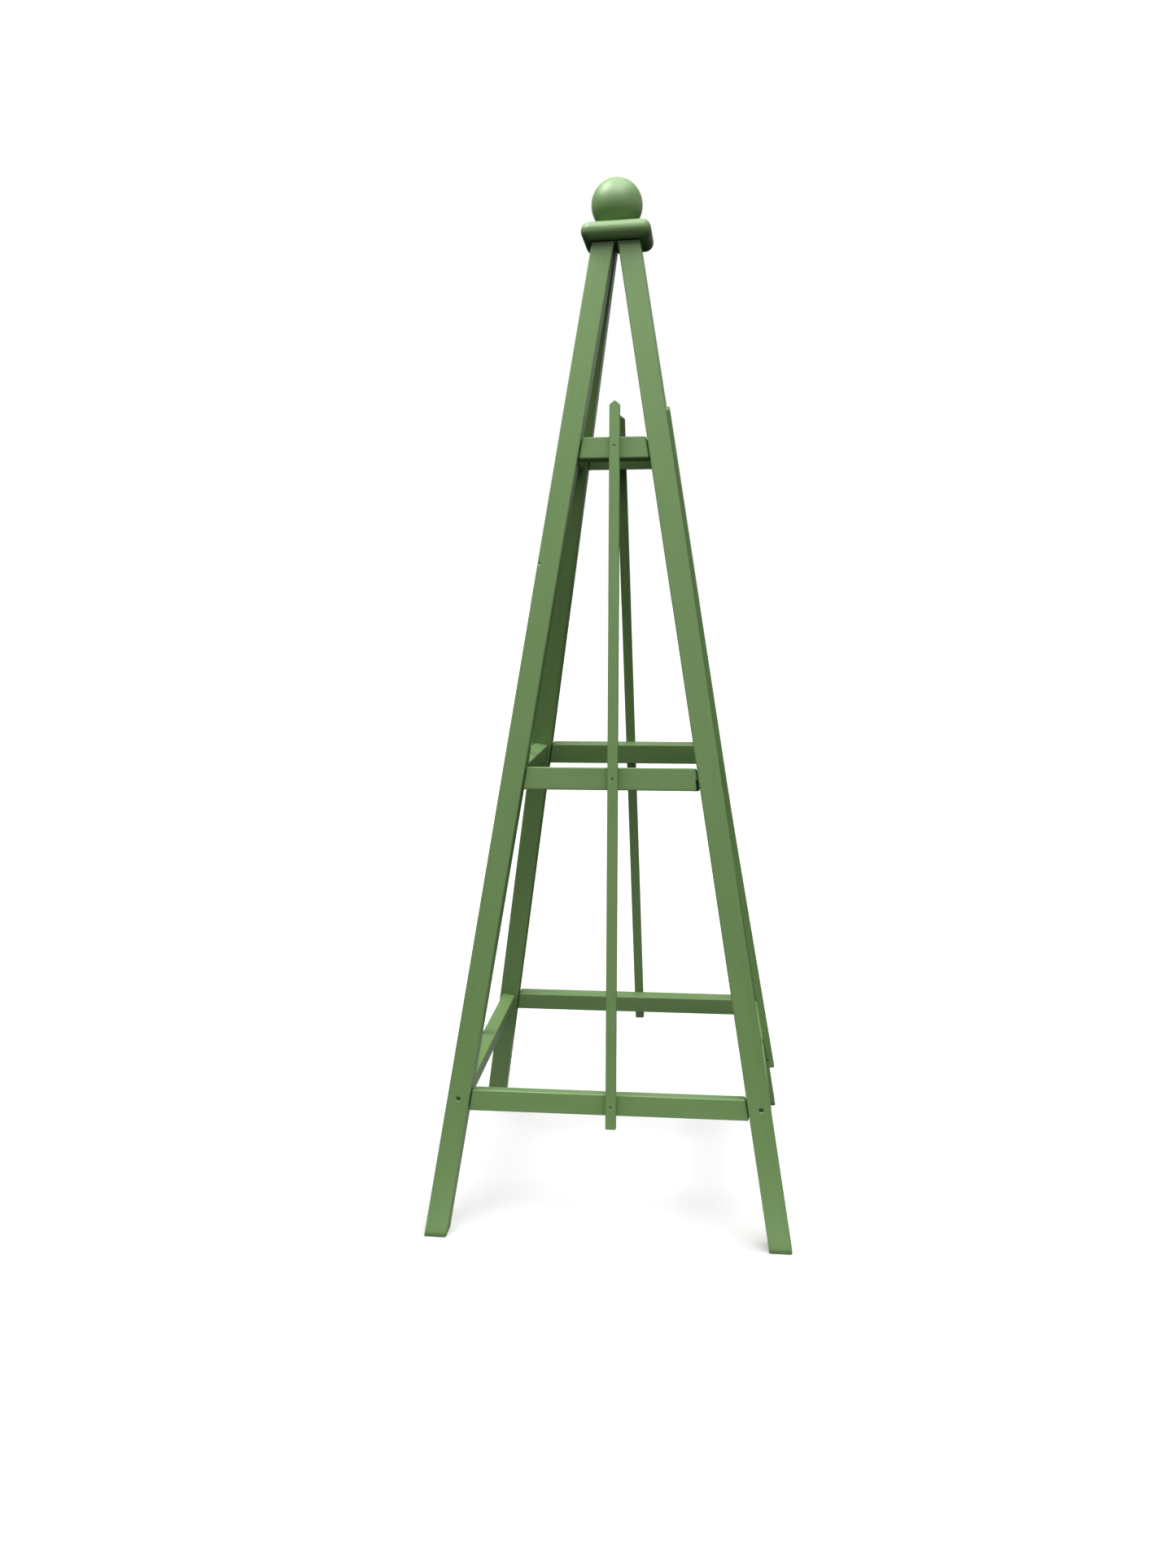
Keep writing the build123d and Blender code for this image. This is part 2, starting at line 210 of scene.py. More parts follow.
# ---- Materials ----
class Nodes:
    """A material's node tree, with one short call for each kind of node it uses."""

    def __init__(self, name):
        self.material = bpy.data.materials.new(name)
        self.material.use_nodes = True
        self.tree = self.material.node_tree
        self.tree.nodes.clear()
        output = self.tree.nodes.new("ShaderNodeOutputMaterial")
        self.shader = self.tree.nodes.new("ShaderNodeBsdfPrincipled")
        self.link(self.shader.outputs[0], output.inputs[0])

    def link(self, source, target):
        self.tree.links.new(source, target)

    def fill(self, node, values):
        for place, value in values.items():
            if isinstance(value, bpy.types.NodeSocket):
                self.link(value, node.inputs[place])
            else:
                node.inputs[place].default_value = value

    def attribute(self, name, output="Vector"):
        node = self.tree.nodes.new("ShaderNodeAttribute")
        node.attribute_name = name
        return node.outputs[output]

    def place(self):
        return self.tree.nodes.new("ShaderNodeTexCoord").outputs["Object"]

    def stretch(self, vector, scale):
        node = self.tree.nodes.new("ShaderNodeVectorMath")
        node.operation = "MULTIPLY"
        self.fill(node, {0: vector, 1: scale})
        return node.outputs[0]

    def noise(self, vector, scale=1.0, detail=3.0, roughness=0.5, distortion=0.0):
        node = self.tree.nodes.new("ShaderNodeTexNoise")
        self.fill(node, {"Vector": vector, "Scale": scale, "Detail": detail, "Roughness": roughness,
                         "Distortion": distortion})
        return node.outputs[0]

    def math(self, operation, *values):
        node = self.tree.nodes.new("ShaderNodeMath")
        node.operation = operation
        self.fill(node, dict(enumerate(values)))
        return node.outputs[0]

    def span(self, value, low, high, to_low, to_high):
        node = self.tree.nodes.new("ShaderNodeMapRange")
        self.fill(node, {0: value, 1: low, 2: high, 3: to_low, 4: to_high})
        return node.outputs[0]

    def mix(self, factor, first, second):
        node = self.tree.nodes.new("ShaderNodeMix")
        node.data_type = "RGBA"
        self.fill(node, {0: factor, 6: first, 7: second})
        return node.outputs[2]

    def bump(self, height, strength, distance, normal=None):
        node = self.tree.nodes.new("ShaderNodeBump")
        self.fill(node, {"Strength": strength, "Distance": distance, "Height": height})
        if normal:
            self.link(normal, node.inputs["Normal"])
        return node.outputs[0]

    def finish(self, **values):
        self.fill(self.shader, {name.replace("_", " "): value for name, value in values.items()})
        return self.material


def paint(name, matt, specular):
    """Satin paint brushed along the grain. matt is added to its roughness, and specular is the strength of
    its gloss. The attribute grain runs along, across and through each timber. The noises are the uneven
    coats, the grain that shows through, the marks of the bristles, orange peel and specks."""
    nodes = Nodes(name)
    grain = nodes.attribute("grain")
    end = nodes.attribute("end_grain", "Fac")
    arris = nodes.attribute("arris", "Fac")
    cloud = nodes.noise(nodes.stretch(grain, (5, 22, 22)), detail=4, roughness=0.6)
    streaks = nodes.noise(nodes.stretch(grain, (9, 330, 330)), detail=5, roughness=0.62, distortion=0.3)
    brush = nodes.noise(nodes.stretch(grain, (26, 900, 900)), detail=3, roughness=0.6)
    peel = nodes.noise(grain, scale=1100, detail=2)
    specks = nodes.noise(grain, scale=420, detail=3, roughness=0.7)
    tone = nodes.mix(nodes.span(cloud, 0.3, 0.7, 0, 1), PAINT_THICK, PAINT_COLOUR)
    raised = nodes.math("ADD", nodes.span(streaks, 0.42, 0.72, 0, 0.5),
                        nodes.math("MULTIPLY", arris, 0.5))
    colour = nodes.mix(nodes.math("MINIMUM", raised, 1.0), tone, PAINT_THIN)
    colour = nodes.mix(nodes.span(specks, 0.68, 0.78, 0, 0.35), colour, PAINT_THICK)
    # End grain darker and greyer: partly paint soaked into it, partly a painted reflection
    colour = nodes.mix(nodes.math("MULTIPLY", end, 0.8), colour, PAINT_END_GRAIN_AND_REFLECTION)
    roughness = nodes.math("ADD", nodes.span(cloud, 0.3, 0.7, 0.38 + matt, 0.45 + matt),
                           nodes.span(brush, 0.3, 0.7, -0.03, 0.03))
    normal = nodes.bump(streaks, 0.35, 0.12 * MM)
    normal = nodes.bump(brush, 0.30, 0.05 * MM, normal)
    normal = nodes.bump(peel, 0.25, 0.03 * MM, normal)
    roughness = nodes.math("ADD", roughness, nodes.math("MULTIPLY", end, 0.12))
    return nodes.finish(Base_Color=colour, Roughness=roughness, Specular_IOR_Level=specular, Normal=normal)


def beech():
    """Bare turned dowel."""
    nodes = Nodes("bare_beech")
    place = nodes.place()
    fleck = nodes.noise(nodes.stretch(place, (260, 260, 900)), detail=4, roughness=0.65)
    tone = nodes.noise(place, scale=30, detail=3)
    colour = nodes.mix(nodes.span(fleck, 0.4, 0.7, 0, 1), BEECH_PALE, BEECH_FLECK)
    colour = nodes.mix(nodes.span(tone, 0.35, 0.65, 0, 0.4), colour, BEECH_CLOUD)
    return nodes.finish(Base_Color=colour, Roughness=nodes.span(fleck, 0.3, 0.7, 0.55, 0.7),
                        Normal=nodes.bump(fleck, 0.4, 0.08 * MM))


def zinc():
    """Zinc darkened far below its own colour as painted shade of the holes that the screws and nails sit in,
    with green paint caught on it.
    """
    nodes = Nodes("zinc_darkened_as_painted_shade")
    place = nodes.place()
    bloom = nodes.noise(place, scale=900, detail=4, roughness=0.65)
    splash = nodes.noise(place, scale=380, detail=3, roughness=0.6)
    painted = nodes.span(splash, 0.42, 0.50, 1, 0)
    # Painted shade: the dark zinc tones stand in for the shade inside the holes
    steel = nodes.mix(nodes.span(bloom, 0.35, 0.65, 0, 1), ZINC_IN_PAINTED_SHADE, ZINC_BLOTCH_IN_PAINTED_SHADE)
    height = nodes.math("ADD", bloom, nodes.math("MULTIPLY", painted, 0.6))
    return nodes.finish(Base_Color=nodes.mix(painted, steel, PAINT_THICK),
                        Metallic=nodes.math("SUBTRACT", 1.0, painted),
                        Roughness=nodes.span(bloom, 0.3, 0.7, 0.5, 0.7),
                        Normal=nodes.bump(height, 0.4, 0.05 * MM))


def floor_material():
    nodes = Nodes("floor")
    place = nodes.place()
    tone = nodes.noise(place, scale=3, detail=4)
    return nodes.finish(Base_Color=nodes.mix(tone, *FLOOR_TONES),
                        Roughness=nodes.span(tone, 0, 1, 0.85, 0.95),
                        Emission_Color=WHITE, Emission_Strength=FLOOR_GLOW)


# ---- Mesh helpers ----
def new_piece(name, bm, material):
    """Object from a bmesh, smooth but for its sharp edges."""
    bmesh.ops.recalc_face_normals(bm, faces=bm.faces)
    mesh = bpy.data.meshes.new(name)
    bm.to_mesh(mesh)
    bm.free()
    mesh.materials.append(material)
    mesh.shade_smooth()
    mesh.set_sharp_from_angle(angle=SHARP_ANGLE)
    piece = bpy.data.objects.new(name, mesh)
    bpy.context.scene.collection.objects.link(piece)
    return piece


def give(mesh, name, kind, values):
    """Stores one value or vector for each vertex."""
    field = mesh.attributes.new(name, kind, "POINT")
    if kind == "FLOAT_VECTOR":
        field.data.foreach_set("vector", [number for value in values for number in value])
    else:
        field.data.foreach_set("value", values)


def soften(piece):
    """Flats keep their own shading right up to the arrises."""
    modifier = piece.modifiers.new("weighted", "WEIGHTED_NORMAL")
    modifier.keep_sharp = True
    modifier.weight = FLAT_WEIGHT


def hand_over(piece, node):
    """The piece stands for the CAD node and moves with the object."""
    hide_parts(node)
    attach(piece, "root")


def loose_parts(node):
    """Lists of the corners of each separate solid in a CAD node."""
    mesh = NODES[node].data
    group = list(range(len(mesh.vertices)))

    def head(index):
        while group[index] != index:
            group[index] = group[group[index]]
            index = group[index]
        return index

    merged = {}
    for vertex in mesh.vertices:
        key = tuple(round(number / WELD_GRID) for number in vertex.co)
        group[vertex.index] = merged.setdefault(key, vertex.index)
    for edge in mesh.edges:
        first, second = (head(index) for index in edge.vertices)
        group[max(first, second)] = min(first, second)
    parts = {}
    for vertex in mesh.vertices:
        parts.setdefault(head(vertex.index), []).append(vertex.co.copy())
    return list(parts.values())


def lathe(bm, profile, segments, axis_point, axis=Vector((0, 0, 1))):
    """Closed solid of revolution from (radius, height) points, the first and last on the axis."""
    turn = axis.to_track_quat("Z", "Y").to_matrix()
    rings = []
    for radius, height in profile:
        ring = []
        for step in range(segments if radius > 0 else 1):
            angle = 2 * math.pi * step / segments
            offset = Vector((radius * math.cos(angle), radius * math.sin(angle), height))
            ring.append(bm.verts.new(axis_point + turn @ offset))
        rings.append(ring)
    for low, high in zip(rings, rings[1:]):
        for step in range(segments):
            corners = [low[step % len(low)], low[(step + 1) % len(low)],
                       high[(step + 1) % len(high)], high[step % len(high)]]
            bm.faces.new(list(dict.fromkeys(corners)))


def cut_away(bm, cutter):
    """The solid in bm less the solid in cutter, both as bmeshes; gives a new bmesh."""
    objects = []
    for name, solid in (("kept", bm), ("cutter", cutter)):
        bmesh.ops.recalc_face_normals(solid, faces=solid.faces)
        mesh = bpy.data.meshes.new(name)
        solid.to_mesh(mesh)
        solid.free()
        thing = bpy.data.objects.new(name, mesh)
        bpy.context.scene.collection.objects.link(thing)
        objects.append(thing)
    modifier = objects[0].modifiers.new("cut", "BOOLEAN")
    modifier.operation = "DIFFERENCE"
    modifier.solver = "EXACT"
    modifier.object = objects[1]
    result = bmesh.new()
    result.from_object(objects[0], bpy.context.evaluated_depsgraph_get())
    for thing in objects:
        mesh = thing.data
        bpy.data.objects.remove(thing)
        bpy.data.meshes.remove(mesh)
    return result


# ---- Legs, rails and laths ----
def screw_mouths():
    """Centre and outward direction of the head of each screw through a leg."""
    found = []
    for part in loose_parts("screws_bottom_rails"):
        low = Vector(min(co[k] for co in part) for k in range(3))
        high = Vector(max(co[k] for co in part) for k in range(3))
        middle, size = (low + high) / 2, high - low
        axis = 0 if size.x > size.y else 1
        outward = Vector((0, 0, 0))
        outward[axis] = math.copysign(1, middle[axis])
        found.append((middle + outward * size[axis] / 2, outward))
    return found


SCREW_MOUTHS = screw_mouths()


def countersunk(bm, node):
    """Opens the mouth of each screw hole in a leg with a shallow countersink."""
    slope = (SINK_RADIUS - SCREW_HOLE_RADIUS) / SINK_DEPTH
    inner, outer = HEAD_RECESS - SINK_DEPTH, HEAD_RECESS + SINK_SPARE
    profile = [(0, inner), (SINK_ROOT, inner), (SINK_ROOT + slope * (outer - inner), outer), (0, outer)]
    low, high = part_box(node)
    cutter = bmesh.new()
    for head, outward in SCREW_MOUTHS:
        if all(low[k] - MM < head[k] < high[k] + MM for k in range(3)):
            lathe(cutter, profile, SINK_SEGMENTS, head, outward)
    return cut_away(bm, cutter) if cutter.verts else bm


def open_joint(bm):
    """Cuts a wedge, wider below, from the front part of the rail's right end."""
    end = max(bm.faces, key=lambda face: face.calc_area() * (face.normal.x > FACING))
    front = max(bm.faces, key=lambda face: face.calc_area() * (face.normal.y < -FACING))
    rightward, forward = end.normal.copy(), front.normal.copy()
    upward = rightward.cross(forward).normalized()
    upward *= math.copysign(1, upward.z)
    middle = end.calc_center_median()
    face_reach = (front.calc_center_median() - middle).dot(forward)
    half_height = max(abs((vert.co - middle).dot(upward)) for vert in end.verts) + GAP_SPARE
    cutter = bmesh.new()
    for side, width in ((1, GAP_TOP), (-1, GAP_BOTTOM)):
        for across in (-width, GAP_SPARE):
            for reach in (face_reach + GAP_SPARE, face_reach - GAP_DEPTH):
                cutter.verts.new(middle + side * half_height * upward + across * rightward + reach * forward)
    bmesh.ops.convex_hull(cutter, input=cutter.verts)
    return cut_away(bm, cutter)


def with_spare_hole(bm):
    """Bores the spare nail hole in from the front edge of the lath."""
    cutter = bmesh.new()
    profile = [(0, -SPARE_HOLE_DEPTH), (SPARE_HOLE_RADIUS, -SPARE_HOLE_DEPTH),
               (SPARE_HOLE_RADIUS, SPARE_HOLE_DEPTH), (0, SPARE_HOLE_DEPTH)]
    lathe(cutter, profile, SPARE_HOLE_SEGMENTS, SPARE_HOLE_PLACE, Vector((0, -1, 0)))
    return cut_away(bm, cutter)


def main_normals(bm):
    """Normals of the two largest flats that aren't parallel to each other."""
    flats = sorted(bm.faces, key=lambda face: -face.calc_area())
    first = flats[0].normal.copy()
    return first, next(face.normal.copy() for face in flats if abs(face.normal.dot(first)) < APART)


def cut_grid(bm, normal, step, finer=()):
    """Adds lines of edges where planes a step apart cross the mesh. finer is (from, to, step) stretches."""
    reach = [vertex.co.dot(normal) for vertex in bm.verts]
    count = max(2, round((max(reach) - min(reach)) / step))
    places = [min(reach) + (max(reach) - min(reach)) * k / count for k in range(1, count)]
    for start, stop, fine in finer:
        places += [start + fine * (k + 0.5) for k in range(int((stop - start) / fine))]
    for place in places:
        bmesh.ops.bisect_plane(bm, geom=bm.verts[:] + bm.edges[:] + bm.faces[:], dist=MERGE_DISTANCE,
                               plane_co=normal * place, plane_no=normal)


def unevenness(place, normal, axes, seed):
    """How far planing, sanding and paint leave a point inside the ideal timber."""
    first, second, grain = axes
    along, across, through = place.dot(grain), place.dot(first), place.dot(second)
    square = max(abs(normal.dot(first)), abs(normal.dot(second)), abs(normal.dot(grain)))
    arris = max(0.0, min(1.0, (1 - square) / ARRIS_TURN))
    wave = noise.noise(Vector((along / WAVE_LENGTH, WAVE_FACES * normal.dot(first),
                               WAVE_FACES * normal.dot(second) + seed)))
    raised = noise.noise(Vector((along / GRAIN_LENGTH, across / GRAIN_WIDTH, through / GRAIN_WIDTH + seed)))
    worn = noise.noise(Vector((along / ARRIS_LENGTH, ARRIS_FACES * normal.dot(first),
                               ARRIS_FACES * normal.dot(second) - seed)))
    depth = (WAVE_DEPTH * (0.5 + 0.5 * wave) + GRAIN_DEPTH * (0.5 + 0.5 * raised)
             + ARRIS_DEPTH * arris * (0.5 + 0.5 * worn))
    return depth, arris


def jointed_ends(bm, node, axes):
    """Centre and outward normal of both ends of a rail, or of a leg's top, with the sides of the timber:
    each side's normal, and its middle and half size along that."""
    first, second, grain = axes
    ends = []
    for way in (1, -1):
        face = max(bm.faces, key=lambda face: face.calc_area() * (way * face.normal.dot(grain) > FACING))
        ends.append((face.calc_center_median(), face.normal.copy()))
    if node.startswith("leg"):
        ends = [max(ends, key=lambda end: end[0].z)]
    sides = []
    for normal in (first, second):
        reach = [vertex.co.dot(normal) for vertex in bm.verts]
        sides.append((normal, (max(reach) + min(reach)) / 2, (max(reach) - min(reach)) / 2))
    return ends, sides


def eased(place, ends, sides):
    """Where easing leaves a point of a timber: its ends fall away from the joint all round their edges."""
    inset = min(half - abs(place.dot(normal) - middle) for normal, middle, half in sides)
    share = max(0.0, 1 - inset / EASE_INSET)
    for centre, normal in ends:
        if (centre - place).dot(normal) < EASE_REACH:
            place = place - EASE_DEPTH * share * normal
    return place


def end_grain(normal, grain, ramp):
    """0 on a timber's sides and 1 on its ends."""
    slope, start = ramp
    return max(0.0, min(1.0, slope * abs(normal.dot(grain)) - start))


def timber(node, grid, material, seed):
    """Detailed piece for a leg, rail or lath, from its own CAD solid."""
    bm = bmesh.new()
    bm.from_mesh(NODES[node].data)
    bmesh.ops.remove_doubles(bm, verts=bm.verts, dist=MERGE_DISTANCE)
    if node.startswith("leg"):
        bm = countersunk(bm, node)
    if node == GAP_RAIL:
        bm = open_joint(bm)
    if node == SPARE_HOLE_NODE:
        bm = with_spare_hole(bm)
    bmesh.ops.dissolve_limit(bm, angle_limit=FLAT_ANGLE, verts=bm.verts, edges=bm.edges)
    first, second = main_normals(bm)
    grain = first.cross(second).normalized()
    axes = (first, second, grain)
    ends_and_sides = None if node.startswith("lath") else jointed_ends(bm, node, axes)
    marks = [(NODES[node].closest_point_on_mesh(mark)[1], radius, mark_depth)
             for mark, radius, mark_depth in MARKS.get(node, [])]
    upright = Vector((0, 0, 1)) if node.startswith("leg") else grain
    for normal, step in ((upright, grid[0]), (first, grid[1]), (second, grid[1])):
        finer = [(mark.dot(normal) - MARK_MARGIN * radius, mark.dot(normal) + MARK_MARGIN * radius,
                  radius / MARK_LINES) for mark, radius, _ in marks]
        cut_grid(bm, normal, step, finer)
    bmesh.ops.triangulate(bm, faces=[face for face in bm.faces if len(face.verts) > 4])
    bm.normal_update()
    places = [vertex.co.copy() for vertex in bm.verts]
    arrises, ends = [], []
    for vertex, place in zip(bm.verts, places):
        depth, arris = unevenness(place, vertex.normal, axes, seed)
        for mark, radius, mark_depth in marks:
            reach = (place - mark).length / radius
            if reach < 1:
                depth += mark_depth * (1 - reach * reach) ** MARK_ROUNDNESS
        vertex.co = place - vertex.normal * depth
        if ends_and_sides:
            vertex.co = eased(vertex.co, *ends_and_sides)
        arrises.append(arris)
        ends.append(end_grain(vertex.normal, grain, END_RAMP))
    piece = new_piece(f"painted_{node}", bm, material)
    offset = Vector([step * seed for step in SEED_STEPS])
    give(piece.data, "grain", "FLOAT_VECTOR",
         [Vector((place.dot(grain), place.dot(first), place.dot(second))) + offset for place in places])
    give(piece.data, "arris", "FLOAT", arrises)
    give(piece.data, "end_grain", "FLOAT", ends)
    soften(piece)
    hand_over(piece, node)


# ---- Cap plate ----
def cap_frame():
    """Tilt of the cap plate, and the middle of its underside, from its CAD solid."""
    mesh = NODES["cap_plate"].data
    largest = max(mesh.polygons, key=lambda face: face.area * (face.normal.z > FACING))
    tilt = Vector((0, 0, 1)).rotation_difference(largest.normal).to_matrix().to_4x4()
    low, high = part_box("cap_plate")
    middle = (low + high) / 2 - tilt.to_3x3() @ Vector((0, 0, CAP_THICKNESS / 2))
    return Matrix.Translation(middle) @ tilt


CAP_FRAME = cap_frame()


def plate_outline(half, radius):
    """Corners of a rounded square, anticlockwise: points with their outward directions."""
    points = []
    for turn in range(4):
        spin = Matrix.Rotation(turn * math.pi / 2, 3, "Z")
        for step in range(SIDE_STEPS):
            along = (half - radius) * (2 * step / SIDE_STEPS - 1)
            points.append((spin @ Vector((half, along, 0)), spin @ Vector((1, 0, 0))))
        for step in range(CORNER_STEPS):
            angle = math.pi / 2 * step / CORNER_STEPS
            outward = Vector((math.cos(angle), math.sin(angle), 0))
            centre = Vector((half - radius, half - radius, 0))
            points.append((spin @ (centre + radius * outward), spin @ outward))
    return points


def nose_relief(place, outward, arc, seed):
    """Depth of the cutter's marks and the raised grain round the plate's edge."""
    router = 0.5 + 0.5 * math.cos(2 * math.pi * arc / ROUTER_PITCH)
    length, width, depth = NOSE_STREAK
    streak = noise.noise(Vector((place.x / length, place.y / width, arc / depth + seed)))
    length, width, depth = NOSE_PORE
    pores = noise.noise(Vector((place.x / length, place.y / width, arc / depth - seed)))
    end = abs(outward.x)
    raised = 0.5 + 0.5 * (streak * (1 - end) + pores * end)
    return ROUTER_DEPTH * router + NOSE_GRAIN_DEPTH * raised * (1 - NOSE_END_CALM * end)


def cap_plate(material, seed):
    """Bullnosed plate with the holes for its screws and the ball's stud, built level and then tilted."""
    bottom, top, middle = 0.0, CAP_THICKNESS, CAP_THICKNESS / 2
    nose = CAP_THICKNESS / 2 - NOSE_FLAT
    outline = plate_outline(CAP_HALF_WIDTH, CORNER_RADIUS)
    bm = bmesh.new()
    rings = []
    inner = [point - outward * nose for point, outward in outline]

    def add_face_ring(share, height):
        rings.append([bm.verts.new((point.x * share, point.y * share, height)) for point in inner])

    for share in FACE_RINGS:
        add_face_ring(share, bottom + CAP_INSET)
    for step in range(NOSE_RINGS + 1):
        angle = math.pi * (step / NOSE_RINGS - 0.5)
        level = middle + math.copysign(NOSE_FLAT, angle) + nose * math.sin(angle)
        arc = nose * (angle + math.pi / 2)
        fade = min(1.0, math.cos(angle) * NOSE_FADE)
        ring = []
        for start, (_, outward) in zip(inner, outline):
            depth = NOSE_INSET + nose_relief(start, outward, arc, seed) * fade
            flat = start + outward * (nose - depth) * math.cos(angle)
            height = level - math.copysign(depth, angle) * abs(math.sin(angle))
            ring.append(bm.verts.new((flat.x, flat.y, height)))
        rings.append(ring)
    for share in reversed(FACE_RINGS):
        add_face_ring(share, top - CAP_INSET)
    count = len(outline)
    for below, above in zip(rings, rings[1:]):
        for step in range(count):
            bm.faces.new((below[step], below[(step + 1) % count], above[(step + 1) % count], above[step]))
    bm.faces.new(rings[0])
    bm.faces.new(rings[-1])
    cutter = bmesh.new()
    head, shank = CAP_SCREW_HOLE
    head_top, head_foot = CAP_SCREW_HEAD
    over, under = top + MM, bottom - MM
    for part in loose_parts("screws_cap_plate"):
        centre = CAP_FRAME.inverted() @ (sum(part, Vector()) / len(part))
        profile = [(0, under), (shank, under), (shank, top - head_foot), (head, top - head_top),
                   (head, over), (0, over)]
        lathe(cutter, profile, CAP_HOLE_SEGMENTS, Vector((centre.x, centre.y, 0)))
    foot = top - STUD_DEPTHS[0]
    profile = [(0, foot), (STUD_RADIUS, foot + STUD_POINT), (STUD_RADIUS, over), (0, over)]
    lathe(cutter, profile, CAP_HOLE_SEGMENTS, Vector())
    bm = cut_away(bm, cutter)
    bmesh.ops.triangulate(bm, faces=[face for face in bm.faces if len(face.verts) > 4])
    bm.normal_update()
    places = [vertex.co.copy() for vertex in bm.verts]
    ends = [end_grain(vertex.normal, Vector((1, 0, 0)), END_RAMP) for vertex in bm.verts]
    bm.transform(CAP_FRAME)
    piece = new_piece("painted_cap_plate", bm, material)
    give(piece.data, "grain", "FLOAT_VECTOR", places)
    give(piece.data, "arris", "FLOAT", [0.0] * len(places))
    give(piece.data, "end_grain", "FLOAT", ends)
    hand_over(piece, "cap_plate")


# ---- Ball ----
def ball_finial(material, seed):
    """Turned ball with a flat underneath and the bore for its stud, built level and then tilted."""
    low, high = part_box("ball_finial")
    radius = (high.x - low.x) / 2
    middle = Vector(((low.x + high.x) / 2, (low.y + high.y) / 2, high.z - radius))
    bottom = CAP_THICKNESS
    centre = (CAP_FRAME.inverted() @ middle).z
    flat = math.sqrt(radius ** 2 - (centre - bottom) ** 2)
    lowest = math.pi - math.asin(flat / radius)
    profile = []
    for step in range(BALL_RINGS + 1):
        angle = lowest * step / BALL_RINGS
        groove = 0.5 + 0.5 * math.cos(2 * math.pi * radius * angle / LATHE_PITCH)
        depth = BALL_INSET + LATHE_DEPTH * groove
        profile.append(((radius - depth) * math.sin(angle), centre + (radius - depth) * math.cos(angle)))
    profile[0] = (0, profile[0][1])
    profile[-1] = (flat - RIM_OUTER, bottom + RIM_HEIGHT)
    bore_top = bottom + STUD_DEPTHS[1]
    profile += [(flat - RIM_INNER, bottom), (flat / 2, bottom), (STUD_RADIUS, bottom),
                (STUD_RADIUS, bore_top - STUD_POINT), (0, bore_top)]
    bm = bmesh.new()
    lathe(bm, profile, BALL_SEGMENTS, Vector())
    bm.normal_update()
    bmesh.ops.recalc_face_normals(bm, faces=bm.faces)
    bm.normal_update()
    places = [vertex.co.copy() for vertex in bm.verts]
    for vertex, place in zip(bm.verts, places):
        if (place - Vector((0, 0, centre))).length > BALL_TURNED * radius:
            raised = noise.noise(Vector((place.x / BALL_GRAIN_LENGTH, place.y / BALL_GRAIN_WIDTH,
                                         place.z / BALL_GRAIN_WIDTH + seed)))
            wave = noise.noise(place / BALL_WAVE_LENGTH + Vector((seed, 0, 0)))
            vertex.co = place - vertex.normal * (BALL_GRAIN_DEPTH * (0.5 + 0.5 * raised)
                                                 + BALL_WAVE_DEPTH * (0.5 + 0.5 * wave))
    ends = [end_grain(vertex.normal, Vector((1, 0, 0)), BALL_END_RAMP) for vertex in bm.verts]
    bm.transform(CAP_FRAME)
    piece = new_piece("painted_ball_finial", bm, material)
    give(piece.data, "grain", "FLOAT_VECTOR", places)
    give(piece.data, "arris", "FLOAT", [0.0] * len(places))
    give(piece.data, "end_grain", "FLOAT", [BALL_END_STRENGTH * end for end in ends])
    hand_over(piece, "ball_finial")


# ---- Stage ----
def area_light(name, place, aim, size, power):
    data = bpy.data.lights.new(name, "AREA")
    data.shape = "RECTANGLE"
    data.size, data.size_y = size
    data.energy = power
    light = bpy.data.objects.new(name, data)
    light.matrix_world = (Matrix.Translation(Vector(place))
                          @ (Vector(place) - Vector(aim)).to_track_quat("Z", "Y").to_matrix().to_4x4())
    light.visible_camera = False
    light.light_linking.receiver_collection = LIT
    bpy.context.scene.collection.objects.link(light)


def add_floor():
    mesh = bpy.data.meshes.new("floor")
    corners = [(x * FLOOR_HALF, y * FLOOR_HALF, 0) for x, y in ((-1, -1), (1, -1), (1, 1), (-1, 1))]
    mesh.from_pydata(corners, [], [(0, 1, 2, 3)])
    mesh.materials.append(floor_material())
    floor = bpy.data.objects.new("floor", mesh)
    floor.visible_diffuse = floor.visible_glossy = False
    bpy.context.scene.collection.objects.link(floor)


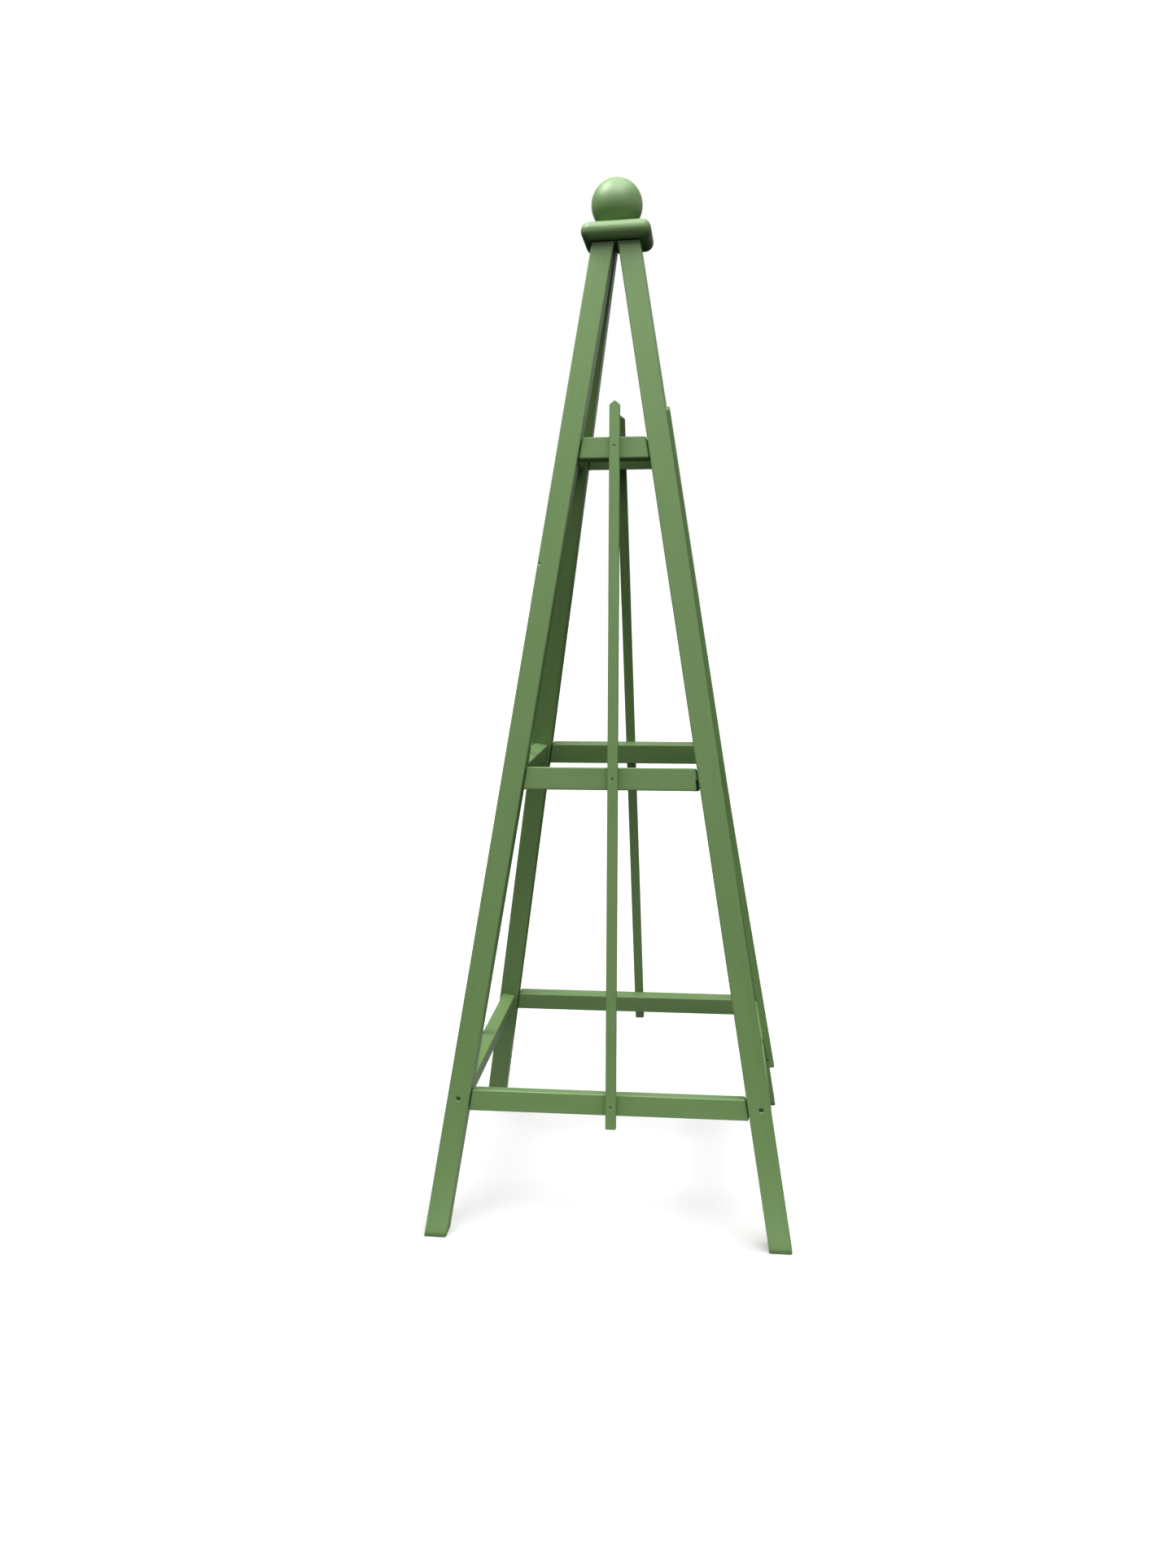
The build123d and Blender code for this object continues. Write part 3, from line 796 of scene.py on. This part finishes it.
def add_world():
    """Pale backdrop for the camera, and sky in zones that light the object, brightest high at the right."""
    world = bpy.data.worlds.new("world")
    bpy.context.scene.world = world
    world.use_nodes = True
    nodes = world.node_tree.nodes
    link = world.node_tree.links.new

    def calculate(operation, *values):
        node = nodes.new("ShaderNodeMath")
        node.operation = operation
        for socket, value in zip(node.inputs, values):
            if isinstance(value, bpy.types.NodeSocket):
                link(value, socket)
            else:
                socket.default_value = value
        return node.outputs[0]

    def step_up(value, middle):
        """0 below the middle value and 1 above it, with a short blend."""
        node = nodes.new("ShaderNodeMapRange")
        for place, number in enumerate((middle - ZONE_BLEND, middle + ZONE_BLEND, 0, 1), start=1):
            node.inputs[place].default_value = number
        link(value, node.inputs[0])
        return node.outputs[0]

    axes = nodes.new("ShaderNodeSeparateXYZ")
    link(nodes.new("ShaderNodeTexCoord").outputs["Generated"], axes.inputs[0])
    x, y, height = axes.outputs
    # The quarters meet on the diagonals
    frontward, leftward = calculate("MULTIPLY", y, -1.0), calculate("MULTIPLY", x, -1.0)
    quarters = []
    for forward, sideways in ((frontward, x), (x, y), (y, x), (leftward, y)):
        quarters.append(step_up(calculate("SUBTRACT", forward, calculate("ABSOLUTE", sideways)), 0.0))
    total = 0.0
    for low, high, levels in SKY_ZONES:
        zone = calculate("SUBTRACT", step_up(height, math.sin(math.radians(low))),
                         step_up(height, math.sin(math.radians(high))) if high < 90 else 0.0)
        for quarter, level in zip(quarters, levels):
            patch = calculate("MULTIPLY", calculate("MULTIPLY", zone, quarter), level)
            total = calculate("ADD", total, patch)
    seen = nodes.new("ShaderNodeLightPath").outputs["Is Camera Ray"]
    shown = calculate("ADD", calculate("MULTIPLY", seen, BACKDROP),
                      calculate("MULTIPLY", calculate("SUBTRACT", 1.0, seen), total))
    background = nodes["Background"]
    background.inputs[0].default_value = WHITE
    link(shown, background.inputs[1])


def set_stage():
    view = bpy.context.scene.view_settings
    view.view_transform = "Standard"
    view.look = "None"
    add_world()
    add_floor()
    area_light("lamp_front", place=(0.35, -1.0, 2.9), aim=LAMP_AIM, size=LAMP_SIZE, power=22)
    area_light("lamp_left", place=(-1.0, -0.2, 2.9), aim=LAMP_AIM, size=LAMP_SIZE, power=53)
    # Light that the pale floor throws up
    area_light("bounce_front", place=(0.12, -0.43, 0.004), aim=(0.12, -0.43, 1), size=(0.8, 0.36),
               power=0.72)
    area_light("bounce_under", place=(0, 0, 0.004), aim=(0, 0, 1), size=(0.9, 0.9), power=0.90)


add_camera()
PAINT, TURNED_PAINT = paint("sage_paint", 0.0, 0.5), paint("sage_paint_turned", 0.10, 0.75)
BEECH, ZINC = beech(), zinc()
GRIDS = {"leg": LEG_GRID, "rail": RAIL_GRID, "lath": LATH_GRID}
for number, node in enumerate(sorted(NODES), start=1):
    kind = node.split("_")[0]
    if kind in GRIDS:
        timber(node, GRIDS[kind], PAINT, number)
    elif node == "cap_plate":
        cap_plate(TURNED_PAINT, number)
    elif node == "ball_finial":
        ball_finial(TURNED_PAINT, number)
    else:
        NODES[node].data.materials.clear()
        NODES[node].data.materials.append(BEECH if kind == "dowels" else ZINC)

# The lamps light these pieces and not the floor
LIT = bpy.data.collections.new("lit_by_lamps")
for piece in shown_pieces():
    LIT.objects.link(piece)
set_stage()
